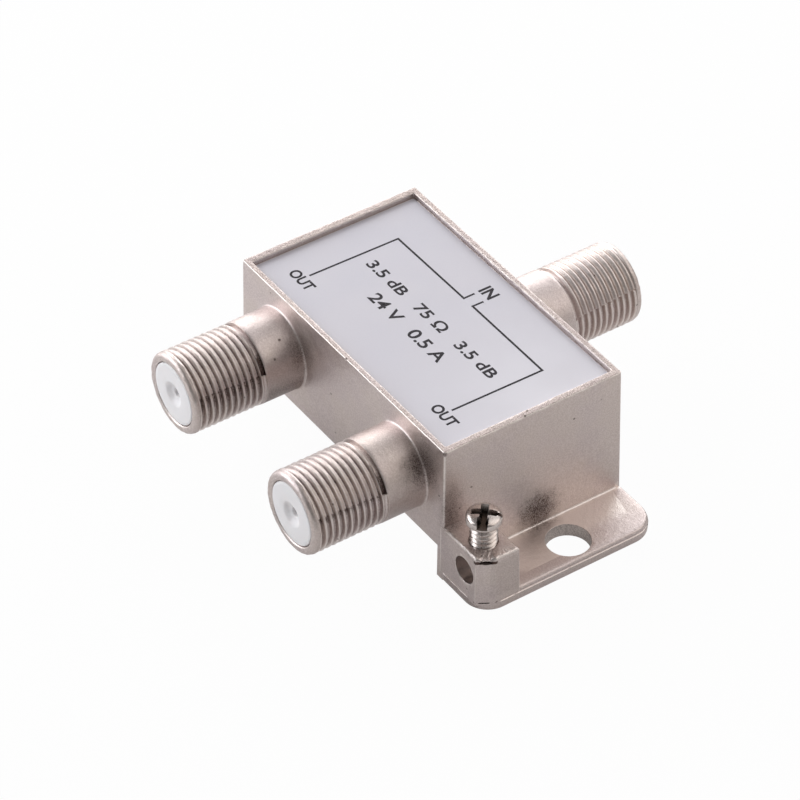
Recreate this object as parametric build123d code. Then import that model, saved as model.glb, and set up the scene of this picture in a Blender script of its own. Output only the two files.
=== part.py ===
from build123d import *
from math import asin, cos, hypot, radians, sin, tan
import os

# A two-way coaxial splitter: a nickel-plated zinc casting with one port behind and two in
# front, two mounting tabs, a ground block with its clamp screw, and the circuit inside.
# Millimetres. Z = 0 is the surface that the feet stand on, +Z points at the label,
# -Y at the two output ports, +Y at the input port and +X at the ground block.

# Casting
body_length = 38.4
body_width = 22.75
body_height = 13.6
stand_off = 4.0
draft = 0.86
corner_r = 0.4
end_wall = 1.6
side_wall = 1.5
top_plate = 1.2
cavity_corner_r = 1.0

# Rim and label
end_rim = 0.85
side_rim = 0.7
label_recess = 0.75
label_thick = 0.12
label_gap = 0.15
label_corner_r = 0.3

# Feet and mounting tabs
foot_wall = 1.1
tab_length = 6.96
tab_thick = 1.65
tab_corner_r = 2.8
parting_height = 1.1
parting_step = 0.1
lower_draft = 3.0
crease_r = 0.5
mount_hole_r = 2.475
mount_hole_inset = 3.12
mount_hole_y = 1.85

# Ground block and its screw
block_top = 7.4
block_width = 4.95
block_corner_r = 0.5
block_edge_r = 0.25
ground_inset = 3.12
wire_hole_r = 1.6
wire_hole_z = 4.4
screw_r = 1.5
screw_clearance = 0.03
screw_exposed = 2.6
screw_length = 4.0
screw_tip_chamfer = 0.3
neck_r = 1.2
neck_length = 0.45
head_r = 1.95
head_height = 1.4
head_dome = 0.45
slot_width = 0.55
slot_depth = 0.6
cross_width = 0.6
cross_reach = 1.2
cross_depth = 0.95

# Ports
port_inset = 7.7
port_below_middle = 0.2
barrel_length = 13.92
thread_r = 4.76
thread_pitch = 0.794
thread_crest = 0.3
thread_depth = 0.42
collar_r = 4.8
collar_length = 4.85
relief_width = 0.4
relief_r = 4.35
root_flare = 0.5
tip_chamfer = 0.5
mouth_r = 3.75
mouth_depth = 2.0
bore_r = 3.05

# Insulators
insulator_gap = 0.1
fit_gap = 0.02
face_recess = 0.05
pin_hole_r = 0.55
dimple_r = 1.25
dimple_depth = 0.45
chamber_r = 1.55
face_thick = 1.3
rear_insulator_length = 2.2

# Contacts
strip_thick = 0.25
strip_bend_r = 0.4
leaf_width = 1.5
leaf_spread = 0.95
leaf_straight = 2.0
pinch_gap = 0.5
pinch_setback = 1.4
mouth_flare = 0.35
mouth_setback = 0.3
tail_width = 1.0
tail_setback = 1.6
slot_gap = 0.05

# Circuit board and the posts that carry it
board_thick = 1.0
board_drop = 1.4
board_gap = 0.35
board_corner_r = 0.8
stake_inset = 1.8
post_margin = 1.2
stake_r = 0.6
lead_hole_gap = 0.1

# Back cover
cover_thick = 0.5
cover_recess = 0.1
cover_ledge = 0.4
cover_gap = 0.05

# Ferrites and their windings
core_length = 2.8
core_width = 3.8
core_height = 2.2
core_hole_r = 0.55
core_hole_spacing = 1.8
core_edge_r = 0.5
wire_r = 0.14
wire_overhang = 0.45
wire_lead_setback = 0.5
turn_pitch = 0.3
matching_turns = 3
splitting_turns = 2
matching_core_setback = 3.15
splitting_core_setback = 5.18

# Resistor, capacitors and solder
lead_r = 0.25
resistor_r = 0.85
resistor_edge = 0.28
resistor_length = 3.4
resistor_lead_span = 6.0
resistor_lift = 0.3
resistor_setback = 1.18
disc_r = 1.9
disc_thick = 1.5
disc_edge = 0.45
disc_lead_span = 2.5
disc_lift = 0.5
disc_offset = 3.5
in_disc_offset = 5.2
disc_setback = 2.0
solder_foot = 0.45
solder_tip = 0.1
solder_height = 0.5
solder_facets = 8

# Values worked out from the sizes above
slope = tan(radians(draft))
overall_height = stand_off + body_height
port_x = body_length / 2 - port_inset
port_z = stand_off + body_height / 2 - port_below_middle
label_floor = overall_height - label_recess
cavity_top = label_floor - top_plate
ledge_z = stand_off + cover_recess + cover_thick
board_top = port_z - board_drop
board_bottom = board_top - board_thick


def half_length(z):
    """Half of the body's length at a height, with the draft."""
    return body_length / 2 + (overall_height - z) * slope


def half_width(z):
    """Half of the body's width at a height, with the draft."""
    return body_width / 2 + (overall_height - z) * slope


def cavity_half_length(z):
    """Half of the cavity's length at a height, with the draft."""
    return half_length(cavity_top) - end_wall + (cavity_top - z) * slope


def cavity_half_width(z):
    """Half of the cavity's width at a height, with the draft."""
    return half_width(cavity_top) - side_wall + (cavity_top - z) * slope


foot_inner = half_length(stand_off) - foot_wall
wall_y = half_width(port_z)
tip_y = wall_y + barrel_length
inner_y = cavity_half_width(port_z)
stem_end_y = inner_y + rear_insulator_length
shoulder_y = tip_y - mouth_depth
face_y = tip_y - face_recess
tail_y = inner_y - tail_setback
tab_reach = half_length(0) + tab_length
mount_hole_x = tab_reach - mount_hole_inset
plate_half_width = half_width(parting_height)
plate_reach = tab_reach - parting_step
ground_x = plate_reach - ground_inset
block_inner_y = block_width - plate_half_width
ground_y = block_inner_y - block_width / 2
stake_x = cavity_half_length(cavity_top) - stake_inset
stake_y = cavity_half_width(cavity_top) - stake_inset
core_hole_z = board_top + core_height / 2
matching_core_y = tail_y - matching_core_setback
splitting_core_y = splitting_core_setback - tail_y
resistor_y = resistor_setback - tail_y
resistor_z = board_top + resistor_lift + resistor_r
disc_z = board_top + disc_lift + disc_r

# Each port by name: its place along X and which way it points along Y
ports = {
    "in": (0.0, 1),
    "out_left": (-port_x, -1),
    "out_right": (port_x, -1),
}

# Each port's blocking capacitor stands beside that port's tail
discs = {
    "in": (in_disc_offset, tail_y - disc_setback),
    "out_left": (disc_offset - port_x, -tail_y + disc_setback),
    "out_right": (port_x - disc_offset, -tail_y + disc_setback),
}

# Plain colours that tell the pieces apart
nickel = (0.66, 0.63, 0.60)
bright_nickel = (0.80, 0.78, 0.75)
white_plastic = (0.93, 0.92, 0.92)
bronze = (0.75, 0.58, 0.35)
board_green = (0.12, 0.38, 0.22)
ferrite = (0.18, 0.17, 0.17)
enamel = (0.62, 0.28, 0.12)
ceramic = (0.78, 0.52, 0.22)
resistor_blue = (0.35, 0.55, 0.72)
tin = (0.72, 0.72, 0.74)
label_grey = (0.84, 0.83, 0.87)


def save(shape, name, colour):
    """Writes one piece to its own file."""
    shape.label = name
    shape.color = Color(*colour)
    export_step(shape, f"parts/{name}.step")


def prism(sketch, z_low, z_high, taper=0.0):
    """A sketch of the XY plane as a solid between two heights."""
    return extrude(Pos(0, 0, z_low) * sketch, z_high - z_low, taper=taper)


def span(x_low, x_high, y_low, y_high):
    """A rectangle between two corners."""
    centre = Pos((x_low + x_high) / 2, (y_low + y_high) / 2)
    return centre * Rectangle(x_high - x_low, y_high - y_low)


def rounded(sketch, radius):
    """A sketch with all its corners rounded."""
    return fillet(sketch.vertices(), radius)


def at_port(shape, name):
    """Moves a shape built along -Y from the middle of the part to one port."""
    x, side = ports[name]
    turn = 180 if side > 0 else 0
    return Pos(x, 0, port_z) * Rot(0, 0, turn) * shape


def quarter_arc(start, end, centre):
    """The quarter circle from one point to another about a centre."""
    towards = (start[0] + end[0] - 2 * centre[0], start[1] + end[1] - 2 * centre[1])
    radius = hypot(start[0] - centre[0], start[1] - centre[1])
    scale = radius / hypot(*towards)
    middle = (centre[0] + towards[0] * scale, centre[1] + towards[1] * scale)
    return ThreePointArc(start, middle, end)


def turned(points):
    """A solid turned about the Y axis, along -Y. Each point is a radius and a distance from the
    middle."""
    outline = Polyline(*[(r, -y) for r, y in points], close=True)
    return revolve(make_face(outline), Axis.Y)


def wire(points, radius):
    """A round wire through points, bent sharply at each."""
    path = Polyline(*points)
    section = Plane(origin=path @ 0, z_dir=path % 0) * Circle(radius)
    return sweep(section, path=path, transition=Transition.RIGHT)


def body_block():
    """The drafted body from the rim down to the feet."""
    outline = rounded(Rectangle(2 * half_length(0), 2 * half_width(0)), corner_r)
    return prism(outline, 0, overall_height, taper=draft)


def tabs():
    """Both mounting tabs: a band below the parting line and the plate that stands back on it."""
    band_outline = Rectangle(2 * tab_reach, 2 * (plate_half_width + parting_step))
    band_outline = rounded(band_outline, tab_corner_r + parting_step)
    band = extrude(Pos(0, 0, parting_height) * band_outline, -parting_height, taper=lower_draft)
    plate_outline = rounded(Rectangle(2 * plate_reach, 2 * plate_half_width), tab_corner_r)
    return band + prism(plate_outline, parting_height, tab_thick, taper=draft)


def crease():
    """The rounded crease between the right-hand end wall and its tab."""
    top = tab_thick + crease_r
    start = (half_length(tab_thick) + crease_r, tab_thick)
    end = (half_length(top), top)
    buried_x = half_length(tab_thick) - crease_r
    lines = [
        quarter_arc(start, end, (start[0], top)),
        Line(end, (buried_x, top)),
        Line((buried_x, top), (buried_x, parting_height)),
        Line((buried_x, parting_height), (start[0], parting_height)),
        Line((start[0], parting_height), start),
    ]
    strip_along_wall = extrude(Plane.XZ * make_face(lines), body_width, both=True)
    within = Rectangle(2 * plate_reach, 2 * plate_half_width)
    return strip_along_wall & prism(within, parting_height, block_top, taper=draft)


def ground_block():
    """The block on the right-hand tab that holds the ground wire."""
    buried_x = foot_inner + foot_wall / 2
    outline = span(buried_x, plate_reach, -plate_half_width, block_inner_y)
    outline = fillet(max(outline.vertices(), key=lambda v: v.X - v.Y), tab_corner_r)
    outline = fillet(max(outline.vertices(), key=lambda v: v.X + v.Y), block_corner_r)
    block = prism(outline, parting_height, block_top, taper=draft)
    return fillet(block.faces().sort_by(Axis.Z)[-1].edges(), block_edge_r)


def barrel():
    """One port's barrel, still solid: a root that flares into the drafted wall, the plain collar,
    the relief, the thread as a row of V-grooves, and the chamfered tip."""
    buried = 2 * (collar_r + root_flare) * slope
    relief_start = wall_y + collar_length
    relief_end = relief_start + relief_width
    thread_start = relief_end + thread_r - relief_r
    thread_end = tip_y - tip_chamfer
    points = [
        (0, wall_y - buried),
        (collar_r + root_flare + buried, wall_y - buried),
        (collar_r, wall_y + root_flare),
        (collar_r, relief_start),
        (relief_r, relief_start),
        (relief_r, relief_end),
        (thread_r, thread_start),
    ]
    groove_width = thread_pitch - thread_crest
    for turn in range(int((thread_end - thread_start - thread_crest) / thread_pitch)):
        y = thread_start + thread_crest + turn * thread_pitch
        valley = (thread_r - thread_depth, y + groove_width / 2)
        points += [(thread_r, y), valley, (thread_r, y + groove_width)]
    points += [(thread_r, thread_end), (thread_r - tip_chamfer, tip_y), (0, tip_y)]
    return turned(points)


def barrel_bore():
    """The bore through a barrel and its wall, wider at the mouth."""
    points = [
        (0, inner_y - side_wall),
        (bore_r, inner_y - side_wall),
        (bore_r, shoulder_y),
        (mouth_r, shoulder_y),
        (mouth_r, tip_y + mouth_depth),
        (0, tip_y + mouth_depth),
    ]
    return turned(points)


def cavity():
    """The space for the circuit, open at the back, with the step that the back cover lies on."""
    z = stand_off
    outline = rounded(Rectangle(2 * cavity_half_length(z), 2 * cavity_half_width(z)), cavity_corner_r)
    step = Rectangle(2 * (cavity_half_length(z) + cover_ledge), 2 * (cavity_half_width(z) + cover_ledge))
    return prism(outline, z, cavity_top, taper=draft) + prism(rounded(step, cavity_corner_r), z, ledge_z)


def posts():
    """Four posts in the cavity's corners, each with a stake that stands in a hole of the board."""
    size = stake_inset + post_margin + end_wall / 2
    centre_x = stake_x - post_margin + size / 2
    centre_y = stake_y - post_margin + size / 2
    square = rounded(Rectangle(size, size), corner_r)
    result = []
    for sx in (-1, 1):
        for sy in (-1, 1):
            result.append(prism(Pos(sx * centre_x, sy * centre_y) * square, board_top, label_floor))
            stake = Pos(sx * stake_x, sy * stake_y) * Circle(stake_r)
            result.append(prism(stake, board_bottom, label_floor))
    return result


def housing():
    """The whole zinc casting."""
    shell = body_block() + tabs()
    shell -= prism(span(-foot_inner, foot_inner, -body_width, body_width), 0, stand_off)
    shell += crease()
    shell += mirror(crease(), Plane.YZ)
    for name in ports:
        shell += at_port(barrel(), name)
    shell += ground_block()
    shell -= cavity()
    shell += posts()
    recess = Rectangle(body_length - 2 * end_rim, body_width - 2 * side_rim)
    shell -= prism(rounded(recess, label_corner_r), label_floor, overall_height + label_recess)
    for name in ports:
        shell -= at_port(barrel_bore(), name)
    for side in (-1, 1):
        hole = Pos(side * mount_hole_x, mount_hole_y) * Circle(mount_hole_r)
        shell -= prism(hole, -parting_height, tab_thick + parting_height)
    shell -= Pos(ground_x, ground_y, wire_hole_z) * Rot(90, 0, 0) * Cylinder(wire_hole_r, 2 * block_width)
    screw_hole = Pos(ground_x, ground_y) * Circle(screw_r + screw_clearance)
    shell -= prism(screw_hole, wire_hole_z, block_top + tab_thick)
    return shell


def label():
    """The printed sheet in the recess."""
    outline = Rectangle(body_length - 2 * (end_rim + label_gap), body_width - 2 * (side_rim + label_gap))
    return prism(rounded(outline, label_corner_r), label_floor, label_floor + label_thick)


def back_cover():
    """The flat sheet that closes the back, lying on the step of the cavity."""
    reach_x = cavity_half_length(stand_off) + cover_ledge - cover_gap
    reach_y = cavity_half_width(stand_off) + cover_ledge - cover_gap
    outline = rounded(Rectangle(2 * reach_x, 2 * reach_y), cavity_corner_r)
    return prism(outline, ledge_z - cover_thick, ledge_z)


def insulator():
    """The plastic plug of one port, with a dimple and a hole for the cable's centre wire."""
    head = mouth_r - insulator_gap
    stem = bore_r - fit_gap
    points = [
        (pin_hole_r, face_y - dimple_depth),
        (dimple_r, face_y),
        (head, face_y),
        (head, shoulder_y),
        (stem, shoulder_y),
        (stem, stem_end_y),
        (chamber_r, stem_end_y),
        (chamber_r, face_y - face_thick),
        (pin_hole_r, face_y - face_thick),
    ]
    return turned(points)


def rear_insulator():
    """The disc behind a contact, with a slot for the contact's tail."""
    stem = bore_r - fit_gap
    disc = turned([(0, inner_y), (stem, inner_y), (stem, stem_end_y), (0, stem_end_y)])
    middle = (inner_y + stem_end_y) / 2
    slot = Box(tail_width + 2 * slot_gap, 2 * rear_insulator_length, strip_thick + 2 * slot_gap)
    return disc - Pos(0, -middle, 0) * slot


def strip(points, width):
    """A bent strip of sheet. Each point is a distance from the middle and a height above the axis."""
    path = FilletPolyline(*[(-y, z) for y, z in points], radius=strip_bend_r)
    return extrude(Plane.YZ * trace(path, strip_thick), width / 2, both=True)


def contact():
    """The folded spring strip that grips the centre wire, and its tail down into the board."""
    mouth = face_y - face_thick - mouth_setback
    pinch = pinch_gap / 2 + strip_thick / 2
    base = stem_end_y + strip_thick / 2
    upper = [
        (mouth, pinch + mouth_flare),
        (mouth - pinch_setback, pinch),
        (base + leaf_straight, leaf_spread),
        (base, leaf_spread),
    ]
    lower = [(y, -z) for y, z in reversed(upper)]
    tail = [(base, 0), (tail_y, 0), (tail_y, board_bottom - port_z)]
    return strip(upper + lower, leaf_width) + strip(tail, tail_width)


def disc_leads(name):
    """Where a capacitor's two leads stand."""
    x, y = discs[name]
    return [(x - disc_lead_span / 2, y), (x + disc_lead_span / 2, y)]


def resistor_leads():
    """Where the resistor's two leads stand."""
    return [(-resistor_lead_span / 2, resistor_y), (resistor_lead_span / 2, resistor_y)]


def winding_leads(core_y):
    """Where a winding's two ends go through the board."""
    y = core_y - core_length / 2 - wire_overhang - wire_lead_setback
    return [(-core_hole_spacing / 2, y), (core_hole_spacing / 2, y)]


def pins():
    """Everything that ends in a hole of the board: its place and half width."""
    result = [(x, side * tail_y, tail_width / 2) for x, side in ports.values()]
    for sx in (-1, 1):
        for sy in (-1, 1):
            result.append((sx * stake_x, sy * stake_y, stake_r))
    thick_leads = resistor_leads()
    for name in discs:
        thick_leads += disc_leads(name)
    result += [(x, y, lead_r) for x, y in thick_leads]
    for core_y in (matching_core_y, splitting_core_y):
        result += [(x, y, wire_r) for x, y in winding_leads(core_y)]
    return result


def circuit_board():
    """The board, with a hole for each stake, tail, lead and wire."""
    length = 2 * (cavity_half_length(board_top) - board_gap)
    width = 2 * (cavity_half_width(board_top) - board_gap)
    board = prism(rounded(Rectangle(length, width), board_corner_r), board_bottom, board_top)
    for x, y, half in pins():
        board -= prism(Pos(x, y) * Circle(half + lead_hole_gap), board_bottom, board_top)
    return board


def solder_joints():
    """A faceted cone of solder under each hole of the board, over the clipped end in it."""
    cones = []
    for x, y, half in pins():
        foot = Pos(x, y, board_bottom) * RegularPolygon(half + solder_foot, solder_facets)
        tip = Pos(x, y, board_bottom - solder_height) * RegularPolygon(half + solder_tip, solder_facets)
        cones.append(loft([foot, tip], ruled=True))
    return Compound(children=cones)


def ferrite_core(core_y):
    """A two-hole ferrite lying on the board, with its holes along Y."""
    outline = Rectangle(core_width, core_height)
    outline = rounded(outline, core_edge_r)
    for side in (-1, 1):
        outline -= Pos(side * core_hole_spacing / 2, 0) * Circle(core_hole_r)
    end = Plane(origin=(0, core_y, core_hole_z), x_dir=(1, 0, 0), z_dir=(0, -1, 0))
    return extrude(end * outline, core_length / 2, both=True)


def winding(core_y, turns):
    """One enamelled wire through both holes of a ferrite, with its two ends down to the board."""
    x = core_hole_spacing / 2
    near = core_y - core_length / 2 - wire_overhang
    far = core_y + core_length / 2 + wire_overhang
    (_, lead_y), _ = winding_leads(core_y)
    low = core_hole_z - turn_pitch * (turns - 1) / 2
    points = [(-x, lead_y, board_bottom), (-x, lead_y, low)]
    for turn in range(turns):
        z = low + turn * turn_pitch
        points += [(-x, far, z), (x, far, z)]
        if turn < turns - 1:
            points += [(x, near, z), (-x, near, z + turn_pitch)]
    points += [(x, lead_y, low + (turns - 1) * turn_pitch), (x, lead_y, board_bottom)]
    return wire(points, wire_r)


def isolation_resistor():
    """A small resistor lying over the board on its bent leads."""
    (left, y), (right, _) = resistor_leads()
    body = Pos(0, y, resistor_z) * Rot(0, 90, 0) * Cylinder(resistor_r, resistor_length)
    body = chamfer(body.edges().filter_by(GeomType.CIRCLE), resistor_edge)
    points = [
        (left, y, board_bottom),
        (left, y, resistor_z),
        (right, y, resistor_z),
        (right, y, board_bottom),
    ]
    return body + wire(points, lead_r)


def capacitor(name):
    """A dipped ceramic disc standing on two leads."""
    x, y = discs[name]
    disc = Pos(x, y, disc_z) * Rot(90, 0, 0) * Cylinder(disc_r, disc_thick)
    disc = chamfer(disc.edges().filter_by(GeomType.CIRCLE), disc_edge)
    for lead_x, lead_y in disc_leads(name):
        disc += prism(Pos(lead_x, lead_y) * Circle(lead_r), board_bottom, disc_z)
    return disc


def ground_screw():
    """The clamp screw, partly unscrewed: chamfered tip, thread, neck and a slotted cross head."""
    seat = block_top + screw_exposed
    tip = seat - screw_length
    crown = seat + head_height
    edge = crown - head_dome
    dome_r = (head_r**2 + head_dome**2) / (2 * head_dome)
    half_angle = asin(head_r / dome_r) / 2
    shoulder = (dome_r * sin(half_angle), crown - dome_r * (1 - cos(half_angle)))
    profile = [
        Line((0, tip), (screw_r - screw_tip_chamfer, tip)),
        Line((screw_r - screw_tip_chamfer, tip), (screw_r, tip + screw_tip_chamfer)),
        Line((screw_r, tip + screw_tip_chamfer), (screw_r, seat - neck_length)),
        Line((screw_r, seat - neck_length), (neck_r, seat - neck_length)),
        Line((neck_r, seat - neck_length), (neck_r, seat)),
        Line((neck_r, seat), (head_r, seat)),
        Line((head_r, seat), (head_r, edge)),
        ThreePointArc((head_r, edge), shoulder, (0, crown)),
        Line((0, crown), (0, tip)),
    ]
    screw = revolve(Plane.XZ * make_face(profile), Axis.Z)
    screw -= prism(Rectangle(2 * (head_r + slot_depth), slot_width), crown - slot_depth, crown + head_dome)
    cross = Rectangle(2 * cross_reach, cross_width) + Rectangle(cross_width, 2 * cross_reach)
    screw -= prism(cross, crown - cross_depth, crown + head_dome)
    return Pos(ground_x, ground_y) * screw


def main():
    """Writes every piece."""
    os.makedirs("parts", exist_ok=True)
    save(housing(), "housing", nickel)
    save(label(), "label", label_grey)
    save(back_cover(), "back_cover", tin)
    for name in ports:
        save(at_port(insulator(), name), f"{name}_insulator", white_plastic)
        save(at_port(rear_insulator(), name), f"{name}_rear_insulator", white_plastic)
        save(at_port(contact(), name), f"{name}_contact", bronze)
        save(capacitor(name), f"{name}_capacitor", ceramic)
    save(circuit_board(), "circuit_board", board_green)
    save(solder_joints(), "solder_joints", tin)
    save(ferrite_core(matching_core_y), "matching_core", ferrite)
    save(winding(matching_core_y, matching_turns), "matching_winding", enamel)
    save(ferrite_core(splitting_core_y), "splitting_core", ferrite)
    save(winding(splitting_core_y, splitting_turns), "splitting_winding", enamel)
    save(isolation_resistor(), "isolation_resistor", resistor_blue)
    save(ground_screw(), "ground_screw", bright_nickel)


main()
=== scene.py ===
from math import cos, hypot, pi, radians, sin, sqrt, tan

import bmesh
import bpy
import numpy as np
from mathutils import Matrix, Vector
from mathutils.noise import noise


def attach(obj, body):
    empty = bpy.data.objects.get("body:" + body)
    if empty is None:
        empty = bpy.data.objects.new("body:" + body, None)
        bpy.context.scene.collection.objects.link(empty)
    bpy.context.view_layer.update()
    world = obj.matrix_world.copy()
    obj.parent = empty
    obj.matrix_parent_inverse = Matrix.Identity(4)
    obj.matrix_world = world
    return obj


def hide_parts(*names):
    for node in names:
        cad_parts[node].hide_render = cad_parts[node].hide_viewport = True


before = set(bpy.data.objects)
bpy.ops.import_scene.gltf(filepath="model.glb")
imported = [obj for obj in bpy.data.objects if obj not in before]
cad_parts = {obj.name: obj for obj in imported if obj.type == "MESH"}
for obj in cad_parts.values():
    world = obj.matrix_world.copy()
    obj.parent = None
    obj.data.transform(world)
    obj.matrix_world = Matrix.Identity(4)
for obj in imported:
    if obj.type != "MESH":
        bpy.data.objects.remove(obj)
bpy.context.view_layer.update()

# The casting, the port barrels, the insulators and the screw are modelled here in full detail.
# Sizes are in millimetres, in the part's own frame: Z = 0 is the floor, the label faces +Z,
# the two output ports point at -Y and the ground block is at +X. MM turns them into metres.
MM = 0.001

# Body
body_length = 38.4
body_width = 22.75
overall_height = 17.6
stand_off = 4.0
slope = tan(radians(0.86))
end_wall = 1.6
side_wall = 1.5
end_rim = 0.85
side_rim = 0.7
rim_outer_r = 0.11
rim_inner_r = 0.08
rim_dent = 0.03
near_corner_r = 0.2
far_corner_r = 0.3

# Cavity, with the posts and stakes that carry the board
cavity_top = 15.65
cavity_corner_r = 1.0
cover_ledge = 0.4
ledge_z = 4.6
foot_inner = 18.304
foot_lip = 0.3
board_top = 9.2
board_bottom = 8.2
stake_inset = 1.8
stake_r = 0.6
post_reach = 1.2
post_in_wall = 0.8
post_corner_r = 0.4

# Label
label_floor = 16.85
ink_low = 16.966
ink_thick = 0.012
line_width = 0.25
port_word_weight = 0.028
rating_weight = 0.02

# Tabs. A band runs round the tab up to the parting line, and the plate stands back on it.
tab_reach = 26.424
plate_reach = 26.324
plate_half_width = 11.623
parting_height = 1.1
parting_low = 0.98
parting_high = 1.16
band = 0.1
tab_thick = 1.65
tab_corner_r = 2.8
crease_r = 0.22
mount_hole_x = 23.304
mount_hole_y = 1.85
mount_hole_r = 2.475

# Ground block. Its front corner is cut off flat, with a crack under the top and one above the tab.
block_top = 7.4
block_inner_y = -6.673
block_proud = 0.012
block_edge_r = 0.24
ground_x = 23.204
ground_y = -9.148
wire_hole_r = 1.6
wire_hole_z = 4.4
screw_hole_r = 1.53
screw_hole_chamfer = 0.1
cut_x = 1.12
cut_y = 1.82
upper_crack = 6.8
lower_crack = 1.22

# Ports: where each stands along X and which way it points along Y
port_x = 11.5
ports = {"in": (0.0, 1), "out_left": (-port_x, -1), "out_right": (port_x, -1)}
port_z = 10.6
inner_y = 9.98
tip_y = 25.4
tip_r = 0.5
root_flare = 0.55
collar_r = 4.8
collar_end = 16.33
relief_r = 4.35
relief_end = 16.73
mouth_r = 3.75
mouth_depth = 2.0
mouth_flare = 0.2
bore_r = 3.05

# Thread, from the collar's end to the tip. It is cast in two halves that meet at two seams, and
# these climb towards the tip.
thread_r = 4.76
thread_pitch = 0.794
thread_depth = 0.42
thread_end = tip_y - 0.62
crest_at = 0.41
seam = radians(22.5)
seam_tilt = radians(3.4)
seam_half = radians(1.2)


def noise_at(point, size, seed):
    """Smooth noise between -1 and 1, the same every run, with features of that size."""
    return noise(Vector((point[0] / size + seed, point[1] / size - seed, point[2] / size + 2 * seed)))


def smooth_step(low, high, value):
    """0 below low, 1 above high, smooth between."""
    t = min(max((value - low) / (high - low), 0.0), 1.0)
    return t * t * (3 - 2 * t)


def quarter(steps):
    """The angles of a quarter turn."""
    return [pi / 2 * i / steps for i in range(steps + 1)]


def full_turn(steps):
    """The angles of a whole turn, without the last one."""
    return [2 * pi * i / steps for i in range(steps)]


def half_length(z):
    """From the body's middle to its end face, at one height."""
    return body_length / 2 + (overall_height - z) * slope


def half_width(z):
    """From the body's middle to its front or back face, at one height."""
    return body_width / 2 + (overall_height - z) * slope


# Meshes
def clean(mesh, distance=0.002):
    """Merges points that coincide and turns all faces outwards."""
    work = bmesh.new()
    work.from_mesh(mesh)
    bmesh.ops.remove_doubles(work, verts=work.verts, dist=distance)
    bmesh.ops.dissolve_degenerate(work, edges=work.edges, dist=distance / 2)
    bmesh.ops.recalc_face_normals(work, faces=work.faces)
    work.to_mesh(mesh)
    work.free()


def add_object(name, data):
    """A new object in the scene."""
    obj = bpy.data.objects.new(name, data)
    bpy.context.scene.collection.objects.link(obj)
    return obj


def new_piece(name, points, faces):
    """An object from points in millimetres."""
    mesh = bpy.data.meshes.new(name)
    mesh.from_pydata([tuple(p) for p in points], [], faces)
    clean(mesh)
    return add_object(name, mesh)


def read(items, name, width, kind=float):
    """One value of all of a mesh's points or edges, one row each."""
    values = np.empty(len(items) * width, dtype=kind)
    items.foreach_get(name, values)
    return values.reshape(-1, width)


def side_faces(rows, count, closed):
    """The faces between rows of count points. closed joins the last row to the first."""
    faces = []
    for k in range(rows if closed else rows - 1):
        low, high = k * count, (k + 1) % rows * count
        for i in range(count):
            j = (i + 1) % count
            faces.append((low + i, low + j, high + j, high + i))
    return faces


def loft(name, rings):
    """A closed skin over rings of equally many points, with a flat face at each end."""
    count = len(rings[0])
    points = [p for ring in rings for p in ring]
    faces = side_faces(len(rings), count, False)
    last = (len(rings) - 1) * count
    faces.append(tuple(range(count - 1, -1, -1)))
    faces.append(tuple(range(last, last + count)))
    return new_piece(name, points, faces)


def lathe(name, profile, place, steps=96):
    """A closed turned shape. profile is a closed list of (radius, height) about the Z axis."""
    points = []
    for a in full_turn(steps):
        points += [place @ Vector((r * cos(a), r * sin(a), z)) for r, z in profile]
    return new_piece(name, points, side_faces(steps, len(profile), True))


def rectangle(x_low, x_high, y_low, y_high, radii, z, x_steps=2, y_steps=2, arc_steps=6):
    """Points round a rectangle at one height, from its corner at +X -Y counter-clockwise.
    radii are those of the corners at +X -Y, +X +Y, -X +Y and -X -Y."""
    corners = [(x_high, y_low, 1, -1), (x_high, y_high, 1, 1), (x_low, y_high, -1, 1), (x_low, y_low, -1, -1)]
    arcs = []
    for k, (x, y, sx, sy) in enumerate(corners):
        r = radii[k]
        start = -pi / 2 + k * pi / 2
        arc = []
        for turned in quarter(arc_steps):
            angle = start + turned
            arc.append((x - sx * r + r * cos(angle), y - sy * r + r * sin(angle), z))
        arcs.append(arc)
    ring = []
    for k, arc in enumerate(arcs):
        ring += arc
        steps = y_steps if k % 2 == 0 else x_steps
        ax, ay, _ = arc[-1]
        bx, by, _ = arcs[(k + 1) % 4][0]
        for i in range(1, steps):
            t = i / steps
            ring.append((ax + (bx - ax) * t, ay + (by - ay) * t, z))
    return ring


def prism(name, x, y, r, z_low, z_high, taper=True):
    """A rounded block about the middle of the part, drafted like the walls. x and y are at z_low."""
    grow = (z_high - z_low) * slope if taper else 0
    rings = [
        rectangle(-x, x, -y, y, (r,) * 4, z_low),
        rectangle(-x + grow, x - grow, -y + grow, y - grow, (r,) * 4, z_high),
    ]
    return loft(name, rings)


def combine(target, tool, operation):
    """One Boolean step. The tool is used up."""
    modifier = target.modifiers.new("step", "BOOLEAN")
    modifier.operation = operation
    modifier.solver = "MANIFOLD"
    modifier.object = tool
    graph = bpy.context.evaluated_depsgraph_get()
    result = bpy.data.meshes.new_from_object(target.evaluated_get(graph))
    target.modifiers.clear()
    if len(result.polygons) == 0:
        raise RuntimeError(f"{operation} with {tool.name} left nothing")
    target.data = result
    bpy.data.objects.remove(tool)


def finish_mesh(obj, angle=38):
    """Turns the mesh from millimetres to metres and shades it smooth with its sharp edges kept."""
    mesh = obj.data
    mesh.transform(Matrix.Scale(MM, 4))
    mesh.polygons.foreach_set("use_smooth", [True] * len(mesh.polygons))
    mesh.set_sharp_from_angle(angle=radians(angle))
    weighted = obj.modifiers.new("normals", "WEIGHTED_NORMAL")
    weighted.keep_sharp = True
    mesh.update()


def add_attribute(mesh, name, values):
    """Stores one number per point for the material."""
    layer = mesh.attributes.new(name, "FLOAT", "POINT")
    layer.data.foreach_set("value", np.asarray(values, dtype=np.float32))


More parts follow.
